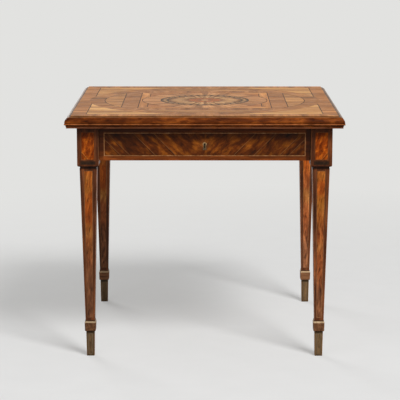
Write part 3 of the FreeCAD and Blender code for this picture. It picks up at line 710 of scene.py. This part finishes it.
def petalMask(tree, spot, ring, look):
    # a leaf shape: its half width swells and closes again along the radius
    share, away = turnShare(tree, spot, ring["count"])
    along = maths(tree, "DIVIDE", minus(tree, spot["Radius"], ring["start"]), ring["length"])
    bent = maths(tree, "POWER", remap(tree, along, 0.0, 1.0), look["swell"])
    swell = times(tree, maths(tree, "SINE", times(tree, bent, math.pi)), ring["fat"])
    return share, remap(tree, minus(tree, swell, away), *look["petalEdge"]), remap(tree, away, *look["rib"])


def makeRosette(look):
    material, tree, shader, place, figure, polish = startWood("medallionRosette", look)
    spot = useGroup(tree, roundSpace, {"Vector": place})
    cream = woodTone(tree, figure, look["creamTones"])
    colour = mixColour(tree, remap(tree, spot["Radius"], *look["rim"]),
                       woodTone(tree, figure, look["groundTones"]), woodTone(tree, figure, look["rimTones"]))
    for ring in look["petalRings"]:
        share, petal, rib = petalMask(tree, spot, ring, look)
        # petals are scorched darker toward one side, as in hot-sand shading
        shaded = dim(tree, woodTone(tree, figure, look[ring["tones"]]), remap(tree, share, *look["scorch"]))
        colour = mixColour(tree, petal, colour, shaded)
        colour = stain(tree, colour, times(tree, petal, rib), look["ribTone"])
    colour = mixColour(tree, remap(tree, spot["Radius"], *look["heart"]), colour, cream)
    away = turnShare(tree, spot, look["lozenges"])[1]
    fromBand = absolute(tree, minus(tree, spot["Radius"], look["lozengeRadius"]))
    reach = plus(tree, times(tree, away, look["lozengeTaper"]),
                 maths(tree, "DIVIDE", fromBand, look["lozengeReach"]))
    lozenge = remap(tree, reach, *look["lozengeEdge"])
    colour = mixColour(tree, lozenge, colour, mixColour(tree, 1.0, cream, look["lozengeTint"], "MULTIPLY"))
    finishWood(tree, shader, colour, figure, polish, look)
    return material


paint(makeRosette(rosetteLook), "top_medallion")
print("top painted")

# Hidden and inside pieces: dry plain wood that was never polished
insideLook = {
    **plainWood, "seed": 30.0, "tones": [(128, 92, 56), (156, 116, 74), (178, 140, 96)],
    "rough": 0.66, "gloss": 0.2, "coat": 0.0, "vein": 0.18,
}
insideWays = {
    "wide": ["front_rail_lower", "front_rail_upper", "glue_blocks", "top_core_boards", "drawer_back",
             "drawer_bottom"],
    "deep": ["drawer_" + piece + hand for piece in ("runner", "guide", "kicker", "side")
             for hand in ("_left", "_right")],
}
for index, (cut, names) in enumerate(insideWays.items()):
    look = {**insideLook, "cut": cut, "seed": insideLook["seed"] + index}
    paint(makeWood("insideWood_" + cut, look), *names)

# Metal: brighter where it is rubbed, dull and rougher in patches; the brass is darker low down
ironLook = {
    "bright": (120, 112, 102), "dull": (70, 62, 54), "metal": 1.0, "seed": 1.0, "patchScale": 6.0,
    "rough": 0.45, "smoother": 0.1, "rougher": 0.15,
}
brassLook = {
    **ironLook, "bright": (186, 150, 102), "dull": (96, 64, 36), "metal": 0.6, "seed": 2.0, "rough": 0.36,
    "paintedLightShadeAndGrime": (keyPlateTop - 0.0125, keyPlateTop - 0.0045, 0.3, 1.0),
}
ironPieces = ["lock_plate", "lock_cap", "lock_bolt", "lock_spring", "lock_screws", "top_screws"]


def makeMetal(name, look):
    material, tree, shader, place = startMaterial(name)
    spread = scaled(tree, place, look["patchScale"])
    patches = useGroup(tree, oldPolish, {"Vector": spread, "Seed": look["seed"]})
    colour = ramp(tree, patches["Rub"], [(0.0, srgb(*look["bright"])), (1.0, srgb(*look["dull"]))])
    # the brass is darker low down
    if "paintedLightShadeAndGrime" in look:
        colour = dim(tree, colour, remap(tree, separate(tree, place)[2], *look["paintedLightShadeAndGrime"]))
    fill(tree, shader, {"Base Color": colour, "Roughness": patchyRough(tree, patches["Fade"], look),
                        "Metallic": look["metal"]})
    return material


paint(makeMetal("lockIron", ironLook), *ironPieces)
paint(makeMetal("oldBrass", brassLook), "keyhole_escutcheon")
print("materials done:", len(bpy.data.materials))

# Stage: a pale round floor that runs out into a pale studio
stageLook = {
    "floorRadius": 9.0, "rings": 24, "spokes": 64, "floor": 0.74, "bounce": 0.75, "rough": 0.9, "gloss": 0.05,
    "grain": (9.0, 3.0), "grainLight": (0.3, 0.7, 0.985, 1.015), "fade": (0.9, 2.8, 0.4, 1.0),
    "studio": (226, 226, 224), "ambient": (0.20, 0.20, 0.20, 1.0),
}


def rayMask(tree):
    path = addNode(tree, "ShaderNodeLightPath").outputs
    return largest(tree, path["Is Camera Ray"], path["Is Glossy Ray"], path["Is Transmission Ray"])


def makeFloorMesh(look):
    # rings of a disc: radius grows with the first parameter, angle turns with the second
    ringCount, spokeCount = look["rings"], look["spokes"]
    radius = np.linspace(0.0, look["floorRadius"], ringCount)[:, None]
    angle = np.linspace(0.0, 2 * math.pi, spokeCount, endpoint=False)[None, :]
    flat = np.zeros((ringCount, spokeCount))
    points = np.stack([radius * np.cos(angle), radius * np.sin(angle), flat], axis=-1).reshape(-1, 3)
    ring, spoke = np.meshgrid(np.arange(ringCount - 1), np.arange(spokeCount), indexing="ij")
    inner, outer, after = ring * spokeCount, (ring + 1) * spokeCount, (spoke + 1) % spokeCount
    faces = np.stack([inner + spoke, outer + spoke, outer + after, inner + after], axis=-1).reshape(-1, 4)
    mesh = bpy.data.meshes.new("studioFloor")
    mesh.from_pydata(points.tolist(), [], faces.tolist())
    return mesh


def makeFloor(look):
    mesh = makeFloorMesh(look)
    floor = bpy.data.objects.new("studioFloor", mesh)
    scene.collection.objects.link(floor)
    material, tree, shader, place = startMaterial("studioFloor")
    grain = remap(tree, noise(tree, place, *look["grain"]), *look["grainLight"])
    albedo = remap(tree, rayMask(tree), 0.0, 1.0, look["bounce"], look["floor"])
    fill(tree, shader, {"Base Color": grey(tree, times(tree, albedo, grain)), "Roughness": look["rough"],
                        "Specular IOR Level": look["gloss"]})
    away = addNode(tree, "ShaderNodeVectorMath", {0: place}, operation="LENGTH").outputs["Value"]
    glow = addNode(tree, "ShaderNodeEmission", {"Color": srgb(*look["studio"]), "Strength": rayMask(tree)})
    surface = addNode(tree, "ShaderNodeMixShader", {0: remap(tree, away, *look["fade"]), 1: shader.outputs[0],
                                                    2: glow.outputs[0]})
    tree.links.new(surface.outputs[0], tree.nodes["Material Output"].inputs["Surface"])
    mesh.materials.append(material)


def makeWorld(look):
    world = bpy.data.worlds.new("studio")
    world.use_nodes = True
    scene.world = world
    tree = world.node_tree
    colour = mixColour(tree, rayMask(tree), look["ambient"], srgb(*look["studio"]))
    tree.links.new(colour, tree.nodes["Background"].inputs["Color"])


makeFloor(stageLook)
makeWorld(stageLook)

# Lamps: place, aim, size in metres and power
lampLooks = {
    "keyLamp": {"at": (3.2, -5.0, 6.4), "aim": (0.0, 0.0, 0.5), "size": 2.8, "power": 660.0},
    "fillLamp": {"at": (-2.6, -4.6, 1.7), "aim": (0.0, 0.0, 0.45), "size": 2.4, "power": 36.0},
    "rearLamp": {"at": (-3.0, 5.0, 2.6), "aim": (0.0, 0.0, 0.5), "size": 2.4, "power": 140.0},
}
for name, look in lampLooks.items():
    data = bpy.data.lights.new(name, "AREA")
    data.size = look["size"]
    data.energy = look["power"]
    lamp = bpy.data.objects.new(name, data)
    lamp.location = look["at"]
    dx, dy, dz = [aim - at for at, aim in zip(look["at"], look["aim"])]
    lamp.rotation_euler = (math.atan2(math.hypot(dx, dy), -dz), 0.0, math.atan2(dy, dx) - math.pi / 2)
    scene.collection.objects.link(lamp)

# Camera at the photograph's place
cameraLook = {"at": (0.00108, -5.3594, 1.3943), "downDegrees": 10.217, "leftDegrees": 0.176, "lens": 148.5,
              "sensor": 36.0}
cameraData = bpy.data.cameras.new("photoCamera")
cameraData.lens = cameraLook["lens"]
cameraData.sensor_width = cameraLook["sensor"]
camera = bpy.data.objects.new("photoCamera", cameraData)
camera.location = cameraLook["at"]
tilt, turn = math.radians(90 - cameraLook["downDegrees"]), math.radians(cameraLook["leftDegrees"])
camera.rotation_euler = (tilt, 0.0, turn)
scene.collection.objects.link(camera)
scene.camera = camera
print("stage, lamps and camera done")
